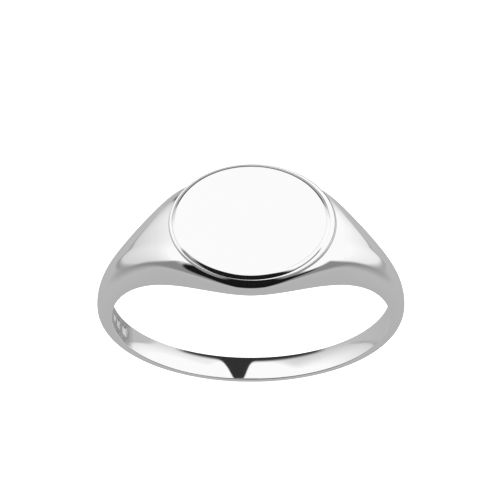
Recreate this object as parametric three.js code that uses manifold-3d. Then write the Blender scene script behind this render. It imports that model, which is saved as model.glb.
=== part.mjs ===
// A polished silver signet ring, bench-made from five pieces and the solder between them.
// Millimetres. The finger goes through along Y, the oval table faces +Z, and X runs across
// the front. The origin is the centre of the finger hole.
import * as THREE from "three";
import { mergeVertices } from "three/addons/utils/BufferGeometryUtils.js";
import Module from "manifold-3d";

const wasm = await Module();
wasm.setup();
const RAD = Math.PI / 180;

// Driving dimensions
const holeRadius = 8.6; // 17.2 mm across, ring size 54
const sideRadius = 9.55; // outside of the band at the widest point, left and right
const bottomRadius = 9.6; // outside of the band opposite the table
const shoulderRise = 12.24; // height that the shoulders aim for, above the head's own top
const shoulderPower = 2.01; // 2 would be an ellipse
const headTop = 10.93; // flat top of the head, under the table plate
const headTopBlend = 40; // a higher number bends more sharply from shoulder to flat top
const bandHalfWidth = 0.79; // at the bottom of the shank
const sideExtraHalfWidth = 0.03; // added at the sides
const headExtraHalfWidth = 2.893; // added at the head, where the finger hole meets the flank
const taperAngle = 41; // how far round the widening reaches, in degrees
const taperPower = 1.85;
const flankFlare = 0.058; // share by which the ring is wider at the top than at the finger
const flareAngle = 58;
const flarePower = 3.6;
const middleFlare = 0.106; // added to that share at the middle of the head
const middleFlareAngle = 15;
const shoulderTaper = 0.118; // share by which the shoulders draw in again
const shoulderTaperAt = 35.2; // where they do it most, in degrees from the top
const shoulderTaperAngle = 10.6;
const headSquareness = 4.45; // added to the section's power of 2 at the middle of the head
const headSquareAngle = 34.7;
const headSquarePower = 3.5;
const sideFlat = 0.214; // straight side between the finger edge and the domed outside
const fingerEdge = 0.04; // rounding of the edges that touch the finger
const crown = 0.124; // comfort rounding across the finger side
const crownLean = 0.25; // moves the crown's high spot towards -Y
const solderGap = 0.1; // thickness of every solder joint
const headAngle = 30; // half of the head, from the top
const shankAngle = 80; // where shoulder and shank meet, from the top
const plateLength = 10.12; // base of the oval plate along X
const plateWidth = 8.06; // and along Y
const plateShift = 0.1; // the plate sits this far off the middle of the ring
const plateThickness = 0.38;
const ledgeHeight = 0.18; // the base's rim stands out round the raised table
const ledgeDraft = 0.05; // the rim's wall leans in by this much
const ledgeEdge = 0.03; // rounding of the rim's outer edge
const tableLength = 9.585; // the raised table along X
const tableWidth = 7.84; // and along Y
const tableShift = [0.008, -0.012]; // its middle, X and Y
const tableTop = 11.42; // height of the polished table above the finger's centre
const roundingStart = 22; // the table's rounded wall leaves the ledge leaning in by this angle
const roundingEnd = 78; // and stops here, short of level, in a crisp edge
const neckBottom = 9.6; // the oval neck under the plate starts inside the head here
const neckLength = 9.84;
const neckWidth = 6.5;
const markAngles = [-99, -106, -113]; // three blank struck marks inside the shank
const markLength = 0.72;
const markWidth = 0.62;
const markDepth = 0.08;

const bump = (angle, width, power) => Math.exp(-((Math.abs(angle) / width) ** power));

// Outer radius of the ring's middle line at an angle from the top: a superellipse whose top
// is cut off level, blended by a power mean.
function outerRadius(angle) {
  const up = Math.cos(angle * RAD);
  const side = Math.abs(Math.sin(angle * RAD)) / sideRadius;
  if (up <= 0) return ((up / bottomRadius) ** 2 + side ** 2) ** -0.5;
  const rise = (up / shoulderRise) ** shoulderPower + side ** shoulderPower;
  const arch = rise ** (1 / shoulderPower);
  return (arch ** headTopBlend + (up / headTop) ** headTopBlend) ** (-1 / headTopBlend);
}

// Half of the ring's width at the finger.
const fingerHalfWidth = (angle) =>
  bandHalfWidth +
  sideExtraHalfWidth * Math.sin(angle * RAD) ** 2 +
  headExtraHalfWidth * bump(angle, taperAngle, taperPower);

// Cross-section at an angle as [radius, y] points: over the outside from +Y to -Y, then back
// along the finger side. The outside is a superellipse, round on the band and squarer at the
// head.
function section(angle, arcSteps) {
  const turn = ((angle + 540) % 360) - 180;
  const half = fingerHalfWidth(turn);
  const outer = outerRadius(turn);
  const taper = shoulderTaper * bump(Math.abs(turn) - shoulderTaperAt, shoulderTaperAngle, 2);
  const middle = middleFlare * bump(turn, middleFlareAngle, 3);
  const flare = flankFlare * bump(turn, flareAngle, flarePower) + middle - taper;
  const power = 2 + headSquareness * bump(turn, headSquareAngle, headSquarePower);
  const rise = outer - holeRadius - sideFlat;
  const points = [];
  for (let i = 0; i <= arcSteps; i++) {
    const a = (90 - (180 * i) / arcSteps) * RAD;
    const across = Math.abs(Math.sin(a));
    const out = Math.max(Math.cos(a), 0);
    const size = (across ** power + out ** power) ** (-1 / power);
    const radius = holeRadius + sideFlat + rise * out * size;
    const spread = 1 + (flare * (radius - holeRadius)) / (outer - holeRadius);
    points.push([radius, Math.sign(Math.sin(a)) * half * spread * across * size]);
  }
  const inside = (y) => holeRadius + crown * ((y / half) ** 2 / 2 + (crownLean * y) / half);
  const flat = half - fingerEdge;
  const edge = (a, side) => [
    inside(side * flat) + fingerEdge * (1 - Math.sin(a * RAD)),
    side * (half - fingerEdge * (1 - Math.cos(a * RAD))),
  ];
  for (const a of [0, 45, 90]) points.push(edge(a, -1));
  for (const share of [-0.75, -0.5, -0.25, 0, 0.25, 0.5, 0.75]) {
    points.push([inside(share * flat), share * flat]);
  }
  for (const a of [90, 45, 0]) points.push(edge(a, 1));
  return points;
}

function solid(geometry) {
  const g = geometry.clone();
  g.deleteAttribute("normal");
  g.deleteAttribute("uv");
  const m = mergeVertices(g, 1e-4);
  return new wasm.Manifold(
    new wasm.Mesh({
      numProp: 3,
      vertProperties: m.attributes.position.array,
      triVerts: new Uint32Array(m.index.array),
    }),
  );
}

function fromSolid(body) {
  const m = body.getMesh();
  const g = new THREE.BufferGeometry();
  const positions = new Float32Array(m.vertProperties);
  g.setAttribute("position", new THREE.BufferAttribute(positions, 3));
  g.setIndex(new THREE.BufferAttribute(new Uint32Array(m.triVerts), 1));
  const flat = g.toNonIndexed();
  flat.computeVertexNormals();
  return flat;
}

// Closed solid between a row of rings of points, all with the same number of points,
// closed by a fan of triangles at each end.
function loft(rings) {
  const count = rings[0].length;
  const flat = rings.flat();
  const middle = (ring) =>
    ring
      .reduce((sum, p) => sum.add(p), new THREE.Vector3())
      .divideScalar(ring.length);
  const first = flat.push(middle(rings[0])) - 1;
  const last = flat.push(middle(rings[rings.length - 1])) - 1;
  const index = [];
  const end = (rings.length - 1) * count;
  for (let k = 0; k < count; k++) {
    const next = (k + 1) % count;
    index.push(first, next, k);
    index.push(last, end + k, end + next);
    for (let i = 0; i < end; i += count) {
      index.push(i + k, i + next, i + count + k);
      index.push(i + next, i + count + next, i + count + k);
    }
  }
  const g = new THREE.BufferGeometry().setFromPoints(flat);
  g.setIndex(index);
  const open = g.toNonIndexed();
  open.computeVertexNormals();
  return open;
}

// Piece of the ring's body between two angles from the top.
function bodyPiece(from, to, steps, arcSteps) {
  const rings = [];
  for (let i = 0; i <= steps; i++) {
    const angle = from + ((to - from) * i) / steps;
    const [s, c] = [Math.sin(angle * RAD), Math.cos(angle * RAD)];
    rings.push(
      section(angle, arcSteps).map(([r, y]) => new THREE.Vector3(r * s, y, r * c)),
    );
  }
  return loft(rings);
}

// Oval ring of points at one height, centred on [x, y].
function oval(length, width, z, [x, y]) {
  const points = [];
  const sides = 96;
  for (let i = 0; i < sides; i++) {
    const a = (2 * Math.PI * i) / sides;
    const across = x + (length / 2) * Math.cos(a);
    points.push(new THREE.Vector3(across, y + (width / 2) * Math.sin(a), z));
  }
  return points;
}

// Oval base with a leaning wall and a narrow ledge, and on it the raised table, whose wall is
// one rounding that meets the flat top in a crisp edge.
function tablePlate() {
  const bottom = tableTop - plateThickness;
  const ledge = bottom + ledgeHeight;
  const [start, end] = [roundingStart * RAD, roundingEnd * RAD];
  const radius = (tableTop - ledge) / (Math.sin(end) - Math.sin(start));
  const rings = [oval(plateLength, plateWidth, bottom, [plateShift, 0])];
  for (const a of [0, 45, 90]) {
    const inset = 2 * (ledgeDraft + ledgeEdge * (1 - Math.cos(a * RAD)));
    const z = ledge - ledgeEdge * (1 - Math.sin(a * RAD));
    rings.push(oval(plateLength - inset, plateWidth - inset, z, [plateShift, 0]));
  }
  for (let i = 0; i <= 6; i++) {
    const a = start + ((end - start) * i) / 6;
    const inset = 2 * radius * (Math.cos(start) - Math.cos(a));
    const z = ledge + radius * (Math.sin(a) - Math.sin(start));
    rings.push(oval(tableLength - inset, tableWidth - inset, z, tableShift));
  }
  return loft(rings);
}

// Oval wafer of solder between the neck and the plate, set in a little all round.
function plateSolder() {
  const inset = 0.12;
  const top = tableTop - plateThickness;
  const ring = (z) => oval(plateLength - inset, plateWidth - inset, z, [plateShift, 0]);
  return loft([ring(top - solderGap), ring(top)]);
}

// Middle of the ring's body with the oval neck that carries the plate.
function head() {
  const top = tableTop - plateThickness - solderGap;
  const ring = (z) => oval(neckLength, neckWidth, z, [plateShift, 0]);
  const neck = loft([ring(neckBottom), ring(top)]);
  return fromSolid(solid(bodyPiece(-headAngle, headAngle, 24, 28)).add(solid(neck)));
}

// Small block with rounded corners that sinks a mark into the finger side of the shank.
function markTool(angle) {
  const r = 0.14;
  const [a, b] = [markLength / 2 - r, markWidth / 2 - r];
  const outline = new THREE.Shape();
  outline.absarc(a, b, r, 0, 90 * RAD);
  outline.absarc(-a, b, r, 90 * RAD, 180 * RAD);
  outline.absarc(-a, -b, r, 180 * RAD, 270 * RAD);
  outline.absarc(a, -b, r, 270 * RAD, 360 * RAD);
  const height = 0.5;
  const g = new THREE.ExtrudeGeometry(outline, {
    depth: height,
    bevelEnabled: false,
    curveSegments: 4,
  });
  g.translate(0, 0, holeRadius + markDepth - height);
  return g.rotateY(angle * RAD);
}

function shank() {
  const from = shankAngle + seamHalfAngle;
  let body = solid(bodyPiece(from, 360 - from, 66, 16));
  for (const angle of markAngles) body = body.subtract(solid(markTool(angle)));
  return fromSolid(body);
}

// Half the angle that a solder joint takes up, measured at the band's middle.
const seamHalfAngle = solderGap / 2 / ((holeRadius + sideRadius) / 2) / RAD;

function seam(angle) {
  return bodyPiece(angle - seamHalfAngle, angle + seamHalfAngle, 1, 28);
}

const ring = new THREE.Group();
ring.name = "signet_ring";

function add(name, geometry, color, roughness) {
  const material = new THREE.MeshStandardMaterial({ color, roughness, metalness: 1 });
  const mesh = new THREE.Mesh(geometry, material);
  mesh.name = name;
  ring.add(mesh);
}

const silver = 0xe4e5e7;
const solder = 0xd6d5d0;
const headEnd = headAngle + 2 * seamHalfAngle;
const shoulderEnd = shankAngle - seamHalfAngle;
add("signet_plate", tablePlate(), silver, 0.06);
add("plate_solder", plateSolder(), solder, 0.2);
add("signet_head", head(), silver, 0.08);
add("left_shoulder", bodyPiece(-shoulderEnd, -headEnd, 20, 28), silver, 0.08);
add("right_shoulder", bodyPiece(headEnd, shoulderEnd, 20, 28), silver, 0.08);
add("left_head_solder", seam(-headAngle - seamHalfAngle), solder, 0.2);
add("right_head_solder", seam(headAngle + seamHalfAngle), solder, 0.2);
add("shank", shank(), silver, 0.08);
add("left_shank_solder", seam(-shankAngle), solder, 0.2);
add("right_shank_solder", seam(shankAngle), solder, 0.2);

export default ring;
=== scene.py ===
import math

import bpy
import numpy as np
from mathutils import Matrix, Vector


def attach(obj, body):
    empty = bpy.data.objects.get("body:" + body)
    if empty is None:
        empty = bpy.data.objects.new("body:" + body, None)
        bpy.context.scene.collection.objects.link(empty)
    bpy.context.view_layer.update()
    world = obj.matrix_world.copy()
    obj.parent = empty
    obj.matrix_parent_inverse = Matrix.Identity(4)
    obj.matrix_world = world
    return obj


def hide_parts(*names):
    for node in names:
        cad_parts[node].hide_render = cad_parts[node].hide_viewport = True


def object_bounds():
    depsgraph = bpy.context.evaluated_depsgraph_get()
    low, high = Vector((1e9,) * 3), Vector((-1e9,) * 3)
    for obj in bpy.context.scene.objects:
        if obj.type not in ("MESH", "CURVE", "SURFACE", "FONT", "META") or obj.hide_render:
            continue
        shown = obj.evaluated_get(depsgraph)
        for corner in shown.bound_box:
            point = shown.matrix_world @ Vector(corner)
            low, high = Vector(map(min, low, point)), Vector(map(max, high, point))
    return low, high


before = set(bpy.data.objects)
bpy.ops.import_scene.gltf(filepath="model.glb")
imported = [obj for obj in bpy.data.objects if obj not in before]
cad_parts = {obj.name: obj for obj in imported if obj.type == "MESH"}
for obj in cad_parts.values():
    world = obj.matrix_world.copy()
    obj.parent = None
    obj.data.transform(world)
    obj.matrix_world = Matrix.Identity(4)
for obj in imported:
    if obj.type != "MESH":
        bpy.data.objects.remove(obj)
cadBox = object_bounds()
print("frame loaded")

mm = 0.001

# the ring's body, in millimetres, with angles in degrees from the top of the ring
body = {
    "holeRadius": 8.6,
    "sideRadius": 9.55,
    "bottomRadius": 9.6,
    "shoulderRise": 12.24,      # height the shoulders aim for
    "shoulderPower": 2.01,
    "headTop": 10.93,           # the flat that cuts the shoulders off
    "headTopBlend": 40,
    "bandHalfWidth": 0.79,
    "sideExtra": 0.03,          # the band is a hair wider at its sides
    "headExtra": 2.893,         # what the head adds to that half width
    "taperAngle": 41,
    "taperPower": 1.85,
    "flare": 0.058,             # wider outside than at the finger
    "flareAngle": 58,
    "flarePower": 3.6,
    "middleFlare": 0.106,       # and more so at the middle of the head
    "middleFlareAngle": 15,
    "middleFlarePower": 3,
    "shoulderTaper": 0.118,     # the shoulders draw in between
    "shoulderTaperAt": 35.2,
    "shoulderTaperAngle": 10.6,
    "headSquareness": 4.45,     # added to the section's power of 2 at the head
    "headSquareAngle": 34.7,
    "headSquarePower": 3.5,
    "sideFlat": 0.214,          # straight side between finger edge and domed outside
    "fingerEdge": 0.04,
    "crown": 0.124,             # comfort rounding of the finger side
    "crownLean": 0.25,          # its high spot sits a little towards -Y
    "outsidePoints": 96,
    "edgePoints": 7,
    "insidePoints": 40,
    "headSteps": 560,
    "shoulderSteps": 220,
    "shankSteps": 330,
    "sharpAngle": 50,           # sharper folds than this keep a crisp edge
}

plate = {
    "length": 10.12,
    "width": 8.06,
    "top": 11.42,
    "thickness": 0.38,
    "shift": 0.1,               # the plate sits a hair off the middle
    "step": 0.18,               # height of the ledge round the raised table
    "ledgeDraft": 0.05,         # its wall leans in
    "ledgeEdge": 0.03,
    "tableLength": 9.585,
    "tableWidth": 7.84,
    "tableShiftX": 0.008,       # the raised table isn't quite in the middle of its base
    "tableShiftY": -0.012,
    "roundingStart": 22,        # its wall leaves the ledge leaning in
    "roundingEnd": 78,          # its rounding stops short of level, in a crisp edge
    "crispEdge": 0.003,
    "crown": 0.006,             # hand polishing leaves the table a little domed
    "sides": 360,
    "tableRings": 40,
    "roundSteps": 22,
}

joints = {
    "headAngle": 30,
    "shankAngle": 80,
    "thickness": 0.1,
    "sink": 0.0002,             # solder polished back a touch below the silver
    "steps": 4,
}


def fromTop(angle):
    # the same angle folded into -180 to 180
    return ((angle + 540) % 360) - 180


def bell(angle, width, power):
    # exp of minus (angle over width) to a power: 1 in the middle, fading to 0
    return np.exp(-((np.abs(angle) / width) ** power))


def outerRadius(angle):
    # superellipse arch cut off level at headTop by a power mean; plain ellipse below the sides
    up = np.cos(np.radians(angle))
    side = np.abs(np.sin(np.radians(angle))) / body["sideRadius"]
    lift = np.clip(up, 1e-9, None)
    p, q = body["shoulderPower"], body["headTopBlend"]
    arch = ((lift / body["shoulderRise"]) ** p + side ** p) ** (1 / p)
    upper = (arch ** q + (lift / body["headTop"]) ** q) ** (-1 / q)
    lower = ((up / body["bottomRadius"]) ** 2 + side ** 2) ** -0.5
    return np.where(up > 0, upper, lower)


def fingerHalfWidth(angle):
    # band width, a little more at the sides, plus a bell that widens to the head
    around = np.sin(np.radians(angle)) ** 2
    wide = body["headExtra"] * bell(angle, body["taperAngle"], body["taperPower"])
    return body["bandHalfWidth"] + body["sideExtra"] * around + wide


def sectionShape(turn):
    # flare: a broad bell, a narrow one at the middle and a dip at the shoulders;
    # power: 2 on the band, rising to a squarer section at the head
    past = np.abs(turn) - body["shoulderTaperAt"]
    dip = body["shoulderTaper"] * bell(past, body["shoulderTaperAngle"], 2)
    flare = body["flare"] * bell(turn, body["flareAngle"], body["flarePower"]) - dip
    middle = bell(turn, body["middleFlareAngle"], body["middleFlarePower"])
    flare = flare + body["middleFlare"] * middle
    square = bell(turn, body["headSquareAngle"], body["headSquarePower"])
    return flare, 2 + body["headSquareness"] * square


def crownRise(share):
    # parabola across the finger side plus a slope, which moves its high spot off the middle
    return body["crown"] * (share ** 2 / 2 + body["crownLean"] * share)


def sectionRings(angles, sink=0.0):
    # one closed cross-section per angle: superellipse outside from -Y to +Y, rounded finger
    # edge, straight line along the finger, rounded edge; returns points (angle, section, xyz)
    turn = fromTop(angles)[:, None]
    half = fingerHalfWidth(turn) - sink
    outer = outerRadius(turn) - sink
    hole = body["holeRadius"] + sink
    flare, power = sectionShape(turn)
    a = np.radians(np.linspace(-90, 90, body["outsidePoints"]))[None, :]
    across, out = np.abs(np.sin(a)), np.clip(np.cos(a), 0, None)
    size = (across ** power + out ** power) ** (-1 / power)
    radius = hole + body["sideFlat"] + (outer - hole - body["sideFlat"]) * out * size
    spread = 1 + flare * (radius - hole) / (outer - hole)
    y = np.sign(np.sin(a)) * half * spread * across * size
    e = np.radians(np.linspace(0, 90, body["edgePoints"]))[None, :]
    edge = body["fingerEdge"]
    corner = edge * (1 - np.sin(e))
    edgeY = half - edge * (1 - np.cos(e))
    far = hole + corner + crownRise(1 - edge / half)
    near = hole + corner + crownRise(edge / half - 1)
    t = np.linspace(1, -1, body["insidePoints"] + 2)[None, 1:-1]
    insideY = t * (half - edge)
    inside = hole + crownRise(insideY / half)
    radius = np.hstack([radius, far, inside, near[:, ::-1]])
    y = np.hstack([y, edgeY, insideY, -edgeY[:, ::-1]])
    r = np.radians(angles)[:, None]
    return np.stack([radius * np.sin(r), y, radius * np.cos(r)], axis=-1)


def loftMesh(name, rings, wear=None, frost=None, paintedReflectionMask=None):
    # quads between neighbouring closed rings, one flat face at each end
    n, m = rings.shape[:2]
    i, k = np.meshgrid(np.arange(n - 1), np.arange(m), indexing="ij")
    k1 = (k + 1) % m
    quads = np.stack([i * m + k, (i + 1) * m + k, (i + 1) * m + k1, i * m + k1], -1)
    faces = quads.reshape(-1, 4).tolist()
    faces.append(list(range(m)))
    faces.append(list(range((n - 1) * m, n * m))[::-1])
    mesh = bpy.data.meshes.new(name)
    mesh.from_pydata((rings.reshape(-1, 3) * mm).tolist(), [], faces)
    if signedVolume(rings, faces) < 0:
        mesh.flip_normals()
    mesh.shade_smooth()
    mesh.set_sharp_from_angle(angle=math.radians(body["sharpAngle"]))
    for label, amount in (("rimWear", wear), ("frost", frost), ("paintedReflectionMask", paintedReflectionMask)):
        layer = mesh.attributes.new(label, "FLOAT", "POINT")
        values = np.zeros(n * m) if amount is None else amount.reshape(-1)
        layer.data.foreach_set("value", values.astype(np.float32))
    mesh.validate()
    piece = bpy.data.objects.new(name, mesh)
    bpy.context.scene.collection.objects.link(piece)
    return piece


def signedVolume(rings, faces):
    # sum of the tetrahedra between the middle and each quad's two triangles
    p = rings.reshape(-1, 3)
    q = np.array(faces[:-2])
    o = p.mean(0)
    a, b, c, d = (p[q[:, j]] - o for j in range(4))
    one = np.einsum("ij,ij->i", a, np.cross(b, c)).sum()
    return one + np.einsum("ij,ij->i", a, np.cross(c, d)).sum()


def sectionWear(rings):
    # 1 on the rounded finger edges and a half on the side points next to them
    m = body["outsidePoints"]
    e, s = body["edgePoints"], body["insidePoints"]
    row = np.zeros(rings.shape[1])
    row[m:m + e] = 1
    row[m + e + s:] = 1
    row[:2] = row[m - 2:m] = 0.5
    return np.tile(row, (rings.shape[0], 1))


marks = {
    "angles": [-99, -106, -113],
    "length": 0.72,
    "width": 0.62,
    "corner": 0.14,
    "depth": 0.08,
    "wall": 0.035,
    "pillow": 0.045,            # the punch leaves the middle of each mark a little raised
    "pillowEdge": 0.3,
    "scuffAndPaintedDarkFrom": -88,           # silver round the marks is left duller, and darkened by a painted dark reflection
    "scuffAndPaintedDarkTo": -121,
    "scuffAndPaintedDarkSoft": 5,
    "scuffDull": 0.5,
    "sideHaze": 0.3,            # and the sides of the band are a little hazy inside
    "sideHazeEnd": 150,
    "sideHazeSoft": 45,
    "fineFrom": 243,            # finer steps here, counted on round from the top
    "fineTo": 265,
    "fineSteps": 170,
    "fineGap": 0.1,
}


def markDepth(angle, y):
    # rounded-rectangle distance to each mark, turned into a sunk floor with a soft edge;
    # returns the depth, and 1 on the floors
    depth = np.zeros(np.broadcast(angle, y).shape)
    floors = depth.copy()
    turn = fromTop(angle)
    for centre in marks["angles"]:
        along = np.abs(turn - centre) * math.pi / 180 * body["holeRadius"]
        dx = along - marks["length"] / 2 + marks["corner"]
        dy = np.abs(y) - marks["width"] / 2 + marks["corner"]
        outside = np.hypot(np.maximum(dx, 0), np.maximum(dy, 0))
        gap = outside + np.minimum(np.maximum(dx, dy), 0) - marks["corner"]
        t = np.clip(0.5 - gap / marks["wall"], 0, 1)
        middle = np.clip(-gap / marks["pillowEdge"], 0, 1)
        soft = t * t * (3 - 2 * t)
        depth += soft * (marks["depth"] - marks["pillow"] * middle ** 0.5)
        floors += soft
    return depth, floors


def scuffAndPaintedDark(angle):
    # 1 along the marks, easing to 0 past them, which dulls the silver there and lays on a painted
    # dark reflection; and haze that fades from the sides down
    turn = fromTop(angle)
    start = np.clip((marks["scuffAndPaintedDarkFrom"] - turn) / marks["scuffAndPaintedDarkSoft"], 0, 1)
    end = np.clip((turn - marks["scuffAndPaintedDarkTo"]) / marks["scuffAndPaintedDarkSoft"], 0, 1)
    sides = np.clip((marks["sideHazeEnd"] - np.abs(turn)) / marks["sideHazeSoft"], 0, 1)
    return start * end, marks["sideHaze"] * sides ** 2


def buildShank():
    # the body's section carried round below the shoulders, finer where the marks are struck;
    # each finger-side point moves outwards by its mark depth
    start = joints["shankAngle"] + seamHalfAngle
    coarse = np.linspace(start, 360 - start, body["shankSteps"])
    fine = np.linspace(marks["fineFrom"], marks["fineTo"], marks["fineSteps"])
    before = coarse < marks["fineFrom"] - marks["fineGap"]
    after = coarse > marks["fineTo"] + marks["fineGap"]
    angles = np.sort(np.concatenate([coarse[before | after], fine]))
    rings = sectionRings(angles)
    m = body["outsidePoints"] + body["edgePoints"]
    inside = rings[:, m:m + body["insidePoints"]]
    deep, floors = markDepth(angles[:, None], inside[:, :, 1])
    out = np.radians(angles)[:, None]
    inside[:, :, 0] += deep * np.sin(out)
    inside[:, :, 2] += deep * np.cos(out)
    near, sides = scuffAndPaintedDark(angles)
    frost = np.zeros(rings.shape[:2])
    dull = np.maximum(marks["scuffDull"] * near, sides)
    frost[:, m:m + body["insidePoints"]] = np.maximum(dull[:, None], floors)
    # painted dark reflection round the marks, kept off their floors; the material speckles it
    paintedReflectionMask = np.zeros(rings.shape[:2])
    paintedReflectionMask[:, m:m + body["insidePoints"]] = near[:, None] * (1 - floors)
    return loftMesh("shankBand", rings, sectionWear(rings), frost, paintedReflectionMask)


middleRadius = (body["holeRadius"] + body["sideRadius"]) / 2
seamHalfAngle = math.degrees(joints["thickness"] / 2 / middleRadius)


def buildArc(name, start, end, steps, sink=0.0):
    # the body's section carried from one angle to another
    rings = sectionRings(np.linspace(start, end, steps), sink)
    return loftMesh(name, rings, sectionWear(rings))


def oval(halfLength, halfWidth, q, x=plate["shift"], y=0.0):
    # ellipse points at the angles q round the centre (x, y)
    return np.stack([x + halfLength * np.cos(q), y + halfWidth * np.sin(q)], -1)


def buildPlate():
    # rings of the base oval from the underside out, up its leaning wall and round its edge to
    # the ledge, then the raised table's oval: up and in by part of a circle, then a parabola
    q = np.linspace(0, 2 * np.pi, plate["sides"], endpoint=False)
    a, b, top = plate["length"] / 2, plate["width"] / 2, plate["top"]
    bottom = top - plate["thickness"]
    ledge = bottom + plate["step"]
    lean, soft = plate["ledgeDraft"], plate["ledgeEdge"]
    rows, wear = [], []

    def ring(halfLength, halfWidth, z, worn=0.0, x=plate["shift"], y=0.0):
        flat = oval(halfLength, halfWidth, q, x, y)
        rows.append(np.column_stack([flat, np.full(len(q), z)]))
        wear.append(worn)

    for share in (0.02, 0.5, 0.97, 1.0):
        ring(a * share, b * share, bottom)
    for t in np.radians([0, 20, 45, 70, 90]):
        inset = lean + soft * (1 - math.cos(t))
        ring(a - inset, b - inset, ledge - soft * (1 - math.sin(t)), 0.6)
    ta, tb = plate["tableLength"] / 2, plate["tableWidth"] / 2
    place = (plate["tableShiftX"], plate["tableShiftY"])
    start, end = math.radians(plate["roundingStart"]), math.radians(plate["roundingEnd"])
    r = (top - ledge) / (math.sin(end) - math.sin(start))
    rim = lean + soft
    for share in (0.12, 0.5, 0.9, 1.0):
        mix = 1 - share
        middle = (place[0] * share + plate["shift"] * mix, place[1] * share)
        ring(ta * share + (a - rim) * mix, tb * share + (b - rim) * mix, ledge, 0, *middle)
    for t in np.linspace(start, end, plate["roundSteps"])[1:]:
        inset = r * (math.cos(start) - math.cos(t))
        rise = r * (math.sin(t) - math.sin(start))
        ring(ta - inset, tb - inset, ledge + rise, 0.5 * math.sin(2 * t), *place)
    flat = (ta - inset, tb - inset)
    crisp = plate["crispEdge"]
    lift = 2 * crisp * plate["crown"] / flat[1]
    ring(flat[0] - crisp, flat[1] - crisp, top + lift, 0, *place)
    for share in np.linspace(1, 0, plate["tableRings"])[1:-1]:
        rise = plate["crown"] * (1 - share ** 2)
        ring(flat[0] * share, flat[1] * share, top + rise, 0, *place)
    wear = np.tile(np.array(wear)[:, None], (1, len(q)))
    return loftMesh("tablePlate", np.array(rows), wear)


# the solder under the plate: how far each ring is set in and how far down it lies
wafer = ((0.06, 0), (0.075, 0.03), (0.075, 0.07), (0.06, 0.1))


def buildPlateSolder():
    # four ovals, one below the other, with a slightly hollow wall
    q = np.linspace(0, 2 * np.pi, plate["sides"], endpoint=False)
    a, b = plate["length"] / 2, plate["width"] / 2
    top = plate["top"] - plate["thickness"]
    rows = []
    for inset, drop in wafer:
        ring = oval(a - inset, b - inset, q)
        rows.append(np.column_stack([ring, np.full(len(q), top - drop)]))
    return loftMesh("plateSolderLine", np.array(rows))


neck = {
    "top": 10.94,
    "inset": 0.14,
    "width": 6.5,
    "filletRadius": 0.12,
    "filletShare": 0.8,         # the fillet takes at most this share of the wall
    "sink": 0.004,              # its foot runs this far into the body
    "steps": 18,
    "topInside": 0.9,
    "footInside": 0.93,
    "footDepth": 0.25,
}


def insideBody(x, y, z):
    # below 1 inside the body: the section's superellipse written as one number
    angle = np.degrees(np.arctan2(x, z))
    radius = np.hypot(x, z)
    outer = outerRadius(angle)
    hole = body["holeRadius"]
    flare, power = sectionShape(angle)
    half = fingerHalfWidth(angle) * (1 + flare * (radius - hole) / (outer - hole))
    high = np.clip(radius - hole - body["sideFlat"], 0, None)
    high = high / (outer - hole - body["sideFlat"])
    return high ** power + (np.abs(y) / half) ** power


def surfaceHeight(x, y):
    # halving search for the height of the body's top under each point
    low = np.full(x.shape, body["holeRadius"] + 0.3)
    high = np.full(x.shape, body["headTop"] + 0.27)
    for _ in range(40):
        mid = (low + high) / 2
        under = insideBody(x, y, mid) < 1
        low, high = np.where(under, mid, low), np.where(under, high, mid)
    return (low + high) / 2


def buildNeck():
    # oval wall from the plate down, then out by a quarter circle that lies on the body's top
    q = np.linspace(0, 2 * np.pi, plate["sides"], endpoint=False)
    a, b = plate["length"] / 2 - neck["inset"], neck["width"] / 2
    wall = oval(a, b, q)
    normal = np.stack([np.cos(q) / a, np.sin(q) / b], -1)
    normal /= np.linalg.norm(normal, axis=1, keepdims=True)
    foot = surfaceHeight(wall[:, 0], wall[:, 1])
    room = np.clip(neck["top"] - foot, 0.02, None)
    fillet = np.minimum(neck["filletRadius"], room * neck["filletShare"])
    level = np.full(len(q), neck["top"])
    lid = oval(a * neck["topInside"], b * neck["topInside"], q)
    rows = [np.column_stack([lid, level]), np.column_stack([wall, level])]
    for t in np.linspace(0, 1, neck["steps"]):
        outward = fillet * (1 - math.cos(t * math.pi / 2))
        xy = wall + normal * outward[:, None]
        ground = surfaceHeight(xy[:, 0], xy[:, 1])
        z = ground + fillet * (1 - math.sin(t * math.pi / 2)) - neck["sink"] * t
        rows.append(np.column_stack([xy, np.minimum(z, neck["top"] - 0.001)]))
    last = rows[-1]
    under = oval(a * neck["footInside"], b * neck["footInside"], q)
    rows.append(np.column_stack([under, last[:, 2] - neck["footDepth"]]))
    return loftMesh("ovalNeck", np.array(rows))


silver = {
    "colour": (0.965, 0.965, 0.97, 1),
    "shade": (0.925, 0.93, 0.94, 1),
    "roughness": 0.035,
    "hazeRoughness": 0.02,
    "scratchDepth": 0.004,
}

solderFinish = {
    "colour": (0.96, 0.959, 0.955, 1),
    "shade": (0.915, 0.915, 0.91, 1),
    "roughness": 0.04,
    "hazeRoughness": 0.03,
    "scratchDepth": 0.01,
}

# marks that both finishes carry
polish = {
    # turn, fineness and start of each set of lines
    "lineSets": ((0.35, 26000, 1.3), (-0.8, 19000, 5.1), (1.35, 31000, 9.7)),
    "lineLength": 900,
    "lineFrom": 0.62,           # only the noise above this shows as lines
    "lineFull": 0.78,
    "lineHaze": 0.01,
    "cloudScale": 420,
    "cloudDetail": 5,
    "wornRoughness": 0.03,      # on the rounded edges
    "frostRoughness": 0.5,      # on the struck floors
    "hazeTint": 12,
    "bumpDistance": 0.00002,
}

# painted dark reflection round the struck marks, broken into a speckle
paintedDarkReflection = {
    "colour": (0.36, 0.36, 0.37, 1),
    "scale": 7000,
    "from": 0.35,
    "full": 0.65,
    "least": 0.45,
}


def newGroup(name, inputs, outputs):
    group = bpy.data.node_groups.new(name, "ShaderNodeTree")
    for label, kind in inputs:
        group.interface.new_socket(label, in_out="INPUT", socket_type=kind)
    for label, kind in outputs:
        group.interface.new_socket(label, in_out="OUTPUT", socket_type=kind)
    return group, group.nodes.new("NodeGroupInput"), group.nodes.new("NodeGroupOutput")


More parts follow.
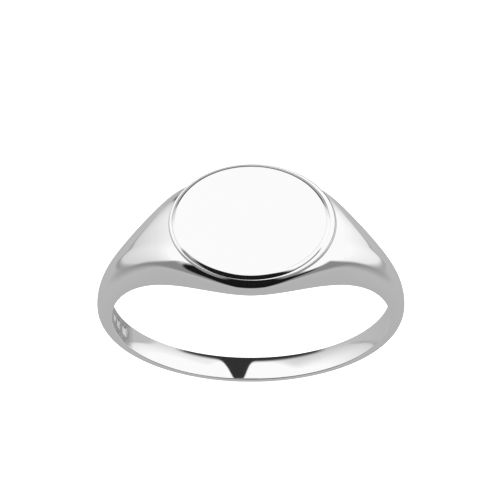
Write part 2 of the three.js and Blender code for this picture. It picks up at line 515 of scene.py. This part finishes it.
def calc(tree, operation, a, b=None, clamp=False):
    # one maths node; numbers go on its sockets and outputs are linked to them
    node = tree.nodes.new("ShaderNodeMath")
    node.operation = operation
    node.use_clamp = clamp
    for socket, value in zip(node.inputs, (a, b)):
        if isinstance(value, (int, float)):
            socket.default_value = value
        elif value is not None:
            tree.links.new(value, socket)
    return node.outputs[0]


def setInputs(node, **values):
    for label, value in values.items():
        node.inputs[label].default_value = value


def buildPolishGroup():
    # three sets of fine crossing hairlines and a soft haze; gives out height and haze
    floats = "NodeSocketFloat"
    group, gin, gout = newGroup(
        "polishMarks",
        [("Place", "NodeSocketVector"), ("Haze", floats)],
        [("Height", floats), ("Haze", floats)],
    )
    links = group.links
    lines = []
    for turn, fineness, start in polish["lineSets"]:
        place = group.nodes.new("ShaderNodeMapping")
        setInputs(
            place,
            Rotation=(0.3 * turn, 0.2, turn),
            Scale=(polish["lineLength"], fineness, polish["lineLength"]),
            Location=(start, 0, 0),
        )
        links.new(gin.outputs["Place"], place.inputs["Vector"])
        noise = group.nodes.new("ShaderNodeTexNoise")
        setInputs(noise, Scale=1, Detail=2)
        links.new(place.outputs[0], noise.inputs["Vector"])
        ramp = group.nodes.new("ShaderNodeMapRange")
        ramp.inputs["From Min"].default_value = polish["lineFrom"]
        ramp.inputs["From Max"].default_value = polish["lineFull"]
        links.new(noise.outputs[0], ramp.inputs["Value"])
        lines.append(ramp.outputs[0])
    total = calc(group, "ADD", calc(group, "ADD", lines[0], lines[1]), lines[2])
    links.new(total, gout.inputs["Height"])
    cloud = group.nodes.new("ShaderNodeTexNoise")
    setInputs(cloud, Scale=polish["cloudScale"], Detail=polish["cloudDetail"], Roughness=0.6)
    links.new(gin.outputs["Place"], cloud.inputs["Vector"])
    haze = calc(group, "MULTIPLY", cloud.outputs[0], gin.outputs["Haze"])
    lineHaze = calc(group, "MULTIPLY", total, polish["lineHaze"])
    links.new(calc(group, "ADD", haze, lineHaze), gout.inputs["Haze"])
    return group


def buildPaintedDarkReflectionGroup():
    # speckled noise times the given amount: a mask for the painted dark reflection spots
    floats = "NodeSocketFloat"
    group, gin, gout = newGroup(
        "paintedDarkReflectionSpots",
        [("Place", "NodeSocketVector"), ("Amount", floats)],
        [("Mask", floats)],
    )
    speckle = group.nodes.new("ShaderNodeTexNoise")
    setInputs(speckle, Scale=paintedDarkReflection["scale"], Detail=3)
    group.links.new(gin.outputs["Place"], speckle.inputs["Vector"])
    ramp = group.nodes.new("ShaderNodeMapRange")
    ramp.inputs["From Min"].default_value = paintedDarkReflection["from"]
    ramp.inputs["From Max"].default_value = paintedDarkReflection["full"]
    ramp.inputs["To Min"].default_value = paintedDarkReflection["least"]
    group.links.new(speckle.outputs[0], ramp.inputs["Value"])
    mask = calc(group, "MULTIPLY", gin.outputs["Amount"], ramp.outputs[0])
    group.links.new(mask, gout.inputs["Mask"])
    return group


polishGroup = buildPolishGroup()
paintedDarkReflectionGroup = buildPaintedDarkReflectionGroup()


def surfaceAmount(tree, label):
    node = tree.nodes.new("ShaderNodeAttribute")
    node.attribute_name = label
    return node.outputs["Fac"]


def mixColour(tree, amount, first, second):
    node = tree.nodes.new("ShaderNodeMix")
    node.data_type = "RGBA"
    tree.links.new(amount, node.inputs["Factor"])
    if isinstance(first, tuple):
        node.inputs["A"].default_value = first
    else:
        tree.links.new(first, node.inputs["A"])
    node.inputs["B"].default_value = second
    return node.outputs["Result"]


def metalFinish(name, look):
    # polished metal: hairline bump, hazy patches, duller worn edges, frosted struck floors and a
    # speckled painted dark reflection round the marks
    material = bpy.data.materials.new(name)
    material.use_nodes = True
    tree = material.node_tree
    links = tree.links
    shader = tree.nodes["Principled BSDF"]
    shader.inputs["Metallic"].default_value = 1.0
    place = tree.nodes.new("ShaderNodeTexCoord").outputs["Object"]
    marked = tree.nodes.new("ShaderNodeGroup")
    marked.node_tree = polishGroup
    marked.inputs["Haze"].default_value = look["hazeRoughness"]
    links.new(place, marked.inputs["Place"])
    haze = marked.outputs["Haze"]
    spots = tree.nodes.new("ShaderNodeGroup")
    spots.node_tree = paintedDarkReflectionGroup
    links.new(place, spots.inputs["Place"])
    links.new(surfaceAmount(tree, "paintedReflectionMask"), spots.inputs["Amount"])

    worn = calc(tree, "MULTIPLY", surfaceAmount(tree, "rimWear"), polish["wornRoughness"])
    frosted = calc(tree, "MULTIPLY", surfaceAmount(tree, "frost"), polish["frostRoughness"])
    rough = calc(tree, "ADD", haze, look["roughness"])
    rough = calc(tree, "ADD", rough, calc(tree, "ADD", worn, frosted))
    links.new(rough, shader.inputs["Roughness"])

    hazy = calc(tree, "MULTIPLY", haze, polish["hazeTint"], clamp=True)
    metal = mixColour(tree, hazy, look["colour"], look["shade"])
    # painted dark reflection: a dark speckled colour laid round the struck marks
    metal = mixColour(tree, spots.outputs["Mask"], metal, paintedDarkReflection["colour"])
    links.new(metal, shader.inputs["Base Color"])

    bump = tree.nodes.new("ShaderNodeBump")
    setInputs(bump, Strength=look["scratchDepth"], Distance=polish["bumpDistance"])
    links.new(marked.outputs["Height"], bump.inputs["Height"])
    links.new(bump.outputs[0], shader.inputs["Normal"])
    return material


polishedSilver = metalFinish("polishedSilver", silver)
polishedSolder = metalFinish("polishedSolder", solderFinish)


def finishPiece(piece, material, slot, *nodes):
    piece.data.materials.append(material)
    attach(piece, "root")
    if nodes:
        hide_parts(*nodes)


headEnd = joints["headAngle"] + 2 * seamHalfAngle
shoulderEnd = joints["shankAngle"] - seamHalfAngle
headArc = buildArc("signetHead", -joints["headAngle"], joints["headAngle"], body["headSteps"])
finishPiece(headArc, polishedSilver, "silver", "signet_head")
finishPiece(buildNeck(), polishedSilver, "silver")
print("head built")
shoulder = buildArc("leftShoulder", -shoulderEnd, -headEnd, body["shoulderSteps"])
finishPiece(shoulder, polishedSilver, "silver", "left_shoulder")
shoulder = buildArc("rightShoulder", headEnd, shoulderEnd, body["shoulderSteps"])
finishPiece(shoulder, polishedSilver, "silver", "right_shoulder")
print("shoulders built")
finishPiece(buildShank(), polishedSilver, "silver", "shank")
print("shank built")
finishPiece(buildPlate(), polishedSilver, "silver", "signet_plate")
finishPiece(buildPlateSolder(), polishedSolder, "solder", "plate_solder")
print("plate built")
for side, start in (("left", -headEnd), ("right", joints["headAngle"])):
    end = start + 2 * seamHalfAngle
    seam = buildArc(side + "HeadSeam", start, end, joints["steps"], joints["sink"])
    finishPiece(seam, polishedSolder, "solder", side + "_head_solder")
for side, middle in (("left", -joints["shankAngle"]), ("right", joints["shankAngle"])):
    start, end = middle - seamHalfAngle, middle + seamHalfAngle
    seam = buildArc(side + "ShankSeam", start, end, joints["steps"], joints["sink"])
    finishPiece(seam, polishedSolder, "solder", side + "_shank_solder")
print("solder joints built")


view = {
    "elevation": 63.0,
    "distance": 0.3,
    "lens": 347.5,
    "lift": 3.52 * mm,          # the camera aims a little above the finger hole
    "side": -0.055 * mm,
}


def buildCamera():
    data = bpy.data.cameras.new("viewCamera")
    data.lens = view["lens"]
    data.sensor_width = 36
    data.clip_start, data.clip_end = 0.01, 10
    camera = bpy.data.objects.new("viewCamera", data)
    bpy.context.scene.collection.objects.link(camera)
    e = math.radians(view["elevation"])
    camera.location = Vector((0, -math.cos(e), math.sin(e))) * view["distance"]
    target = Vector((view["side"], math.sin(e) * view["lift"], math.cos(e) * view["lift"]))
    camera.rotation_euler = (target - camera.location).to_track_quat("-Z", "Y").to_euler()
    bpy.context.scene.camera = camera


buildCamera()

studio = {
    "grey": 0.48,               # the room below the softboxes, at 50 degrees down
    "greyRise": 0.04,           # added for every 40 degrees up
    "frontGrey": 0.25,          # the room is darker towards the camera
    "frontFrom": 88,
    "frontSoft": 29,
    "frontLow": -38,
    "frontLowSoft": 19,
    "white": 0.94,              # side softboxes at the horizon
    "whiteRise": 0.2,           # added for every 30 degrees up
    "whiteRight": 0.09,         # the right softbox is brighter, the left one dimmer
    "whiteSideSoft": 40,
    "whiteLeast": 0.3,
    "backDim": 0.42,            # the softboxes turn away behind the ring
    "backDimAt": 125,
    "backDimSoft": 29,
    "backDimTop": 48,           # but not high up
    "backDimTopSoft": 16,
    "sideFront": 79.3,          # where the softboxes start, round from the camera
    "sideFrontSoft": 9,
    "edgeAt": -30.8,            # height of their lower edge
    "edgeSoft": 9,
    "edgeBackRise": 24.9,       # it steps up behind the ring
    "edgeBackAt": 120.6,
    "edgeBackSoft": 14,
    "edgeDark": 0.24,           # a darker seam follows their edges
    "seamEnd": 124,             # and fades out behind the ring
    "seamEndSoft": 8,
    "overheadAt": 43,
    "overheadSoft": 62,
    "flagTone": 0.008,
    "flagAround": 68,           # black flag round the camera, its lower corners cut off
    "flagAroundSoft": 24,
    "flagBottom": -46,
    "flagCorner": 15,
    "flagSlope": 1.65,
    "flagSoft": 20,
    "flagTop": 80,
    "flagTopSoft": 9,
    "fillFrom": 38,             # white card at the front right, beside the flag
    "fillTo": 100,
    "fillSoft": 12,
    "fillLow": 14,
    "fillLowSoft": 16,
    "cardAt": 0.66,             # dark card behind the ring, as a share of straight back
    "cardSoft": 0.07,
    "cardLow": 0.25,
    "cardLowSoft": 0.2,
    "notchDepth": 0.49,         # one strip of it stands taller
    "notchAt": 0.166,
    "notchWidth": 0.126,
    "cardTone": 0.03,
}


def step(tree, value, start, soft):
    # smooth rise from 0 to 1 centred on start
    node = tree.nodes.new("ShaderNodeMapRange")
    node.interpolation_type = "SMOOTHSTEP"
    tree.links.new(value, node.inputs["Value"])
    node.inputs["From Min"].default_value = start - soft / 2
    node.inputs["From Max"].default_value = start + soft / 2
    return node.outputs[0]


def buildStudioLight():
    # softboxes left, right and overhead in a grey room, a black flag round the camera, a white
    # card beside it and a dark card behind; only reflections see them, the rest is plain white
    world = bpy.data.worlds.new("studioLight")
    bpy.context.scene.world = world
    world.use_nodes = True
    tree = world.node_tree
    tree.nodes.clear()
    s = studio

    def add(a, b):
        return calc(tree, "ADD", a, b)

    def times(a, b):
        return calc(tree, "MULTIPLY", a, b)

    def without(a):
        return calc(tree, "SUBTRACT", 1, a)

    def rise(value, start, soft):
        return step(tree, value, start, soft)

    coord = tree.nodes.new("ShaderNodeTexCoord")
    xyz = tree.nodes.new("ShaderNodeSeparateXYZ")
    tree.links.new(coord.outputs["Generated"], xyz.inputs[0])
    x, y, z = xyz.outputs
    up = times(calc(tree, "ARCSINE", z), 180 / math.pi)
    azimuth = times(calc(tree, "ARCTAN2", x, times(y, -1)), 180 / math.pi)
    around = calc(tree, "ABSOLUTE", azimuth)

    edge = times(rise(around, s["edgeBackAt"], s["edgeBackSoft"]), s["edgeBackRise"])
    edge = add(edge, s["edgeAt"])
    lit = rise(calc(tree, "SUBTRACT", up, edge), 0, s["edgeSoft"])
    lit = times(lit, rise(around, s["sideFront"], s["sideFrontSoft"]))
    overhead = rise(up, s["overheadAt"], s["overheadSoft"])
    lit = without(times(without(lit), without(overhead)))

    white = add(times(up, s["whiteRise"] / 30), s["white"])
    side = add(times(rise(azimuth, 0, s["whiteSideSoft"]), 2), -1)
    white = add(white, times(side, s["whiteRight"]))
    dim = times(rise(around, s["backDimAt"], s["backDimSoft"]), -s["backDim"])
    white = add(white, times(dim, without(rise(up, s["backDimTop"], s["backDimTopSoft"]))))
    white = calc(tree, "MINIMUM", calc(tree, "MAXIMUM", white, s["whiteLeast"]), 1)
    grey = add(times(add(up, 50), s["greyRise"] / 40), s["grey"])
    near = without(rise(around, s["frontFrom"], s["frontSoft"]))
    near = times(near, rise(up, s["frontLow"], s["frontLowSoft"]))
    grey = add(times(grey, without(near)), times(near, s["frontGrey"]))
    tone = add(times(white, lit), times(grey, without(lit)))
    seam = times(times(lit, without(lit)), times(without(near), 4 * s["edgeDark"]))
    seam = times(seam, without(rise(around, s["seamEnd"], s["seamEndSoft"])))
    tone = calc(tree, "SUBTRACT", tone, seam)

    corner = add(times(add(around, -s["flagCorner"]), s["flagSlope"]), s["flagBottom"])
    low = calc(tree, "MAXIMUM", corner, s["flagBottom"])
    flag = rise(calc(tree, "SUBTRACT", up, low), 0, s["flagSoft"])
    flag = times(flag, without(rise(up, s["flagTop"], s["flagTopSoft"])))
    flag = times(flag, without(rise(around, s["flagAround"], s["flagAroundSoft"])))
    tone = add(times(tone, without(flag)), times(flag, s["flagTone"]))

    fill = rise(azimuth, s["fillFrom"], s["fillSoft"])
    fill = times(fill, without(rise(azimuth, s["fillTo"], s["fillSoft"])))
    fill = times(fill, rise(up, s["fillLow"], s["fillLowSoft"]))
    tone = add(times(tone, without(fill)), fill)

    away = times(calc(tree, "ABSOLUTE", add(x, -s["notchAt"])), 1 / s["notchWidth"])
    notch = calc(tree, "EXPONENT", times(calc(tree, "POWER", away, 3), -1))
    behind = add(y, times(notch, s["notchDepth"]))
    card = times(rise(behind, s["cardAt"], s["cardSoft"]), rise(z, s["cardLow"], s["cardLowSoft"]))
    tone = add(times(tone, without(card)), times(card, s["cardTone"]))

    shine = tree.nodes.new("ShaderNodeBackground")
    tree.links.new(tone, shine.inputs["Strength"])
    shine.inputs["Color"].default_value = (1, 1, 1, 1)
    plain = tree.nodes.new("ShaderNodeBackground")
    plain.inputs["Color"].default_value = (1, 1, 1, 1)
    plain.inputs["Strength"].default_value = 1.0
    path = tree.nodes.new("ShaderNodeLightPath")
    mix = tree.nodes.new("ShaderNodeMixShader")
    tree.links.new(path.outputs["Is Glossy Ray"], mix.inputs[0])
    tree.links.new(plain.outputs[0], mix.inputs[1])
    tree.links.new(shine.outputs[0], mix.inputs[2])
    out = tree.nodes.new("ShaderNodeOutputWorld")
    tree.links.new(mix.outputs[0], out.inputs["Surface"])


buildStudioLight()


sheet = {
    "halfSize": 1.5,
    "gap": 0.00002,             # below the ring
    "colour": (0.9, 0.9, 0.9, 1),
    "glow": 0.75,
}


def buildFloor():
    # pale sheet under the ring, glowing so that it stays even
    low = cadBox[0][2] - sheet["gap"]
    half = sheet["halfSize"]
    mesh = bpy.data.meshes.new("paleFloor")
    corners = [(-half, -half, low), (half, -half, low), (half, half, low), (-half, half, low)]
    mesh.from_pydata(corners, [], [(0, 1, 2, 3)])
    floor = bpy.data.objects.new("paleFloor", mesh)
    bpy.context.scene.collection.objects.link(floor)
    material = bpy.data.materials.new("paleSheet")
    material.use_nodes = True
    shader = material.node_tree.nodes["Principled BSDF"]
    shader.inputs["Base Color"].default_value = sheet["colour"]
    shader.inputs["Roughness"].default_value = 0.9
    shader.inputs["Emission Color"].default_value = (1, 1, 1, 1)
    shader.inputs["Emission Strength"].default_value = sheet["glow"]
    mesh.materials.append(material)
    floor.visible_glossy = False


buildFloor()
bpy.context.scene.view_settings.view_transform = "Standard"
print("camera, light and floor set")
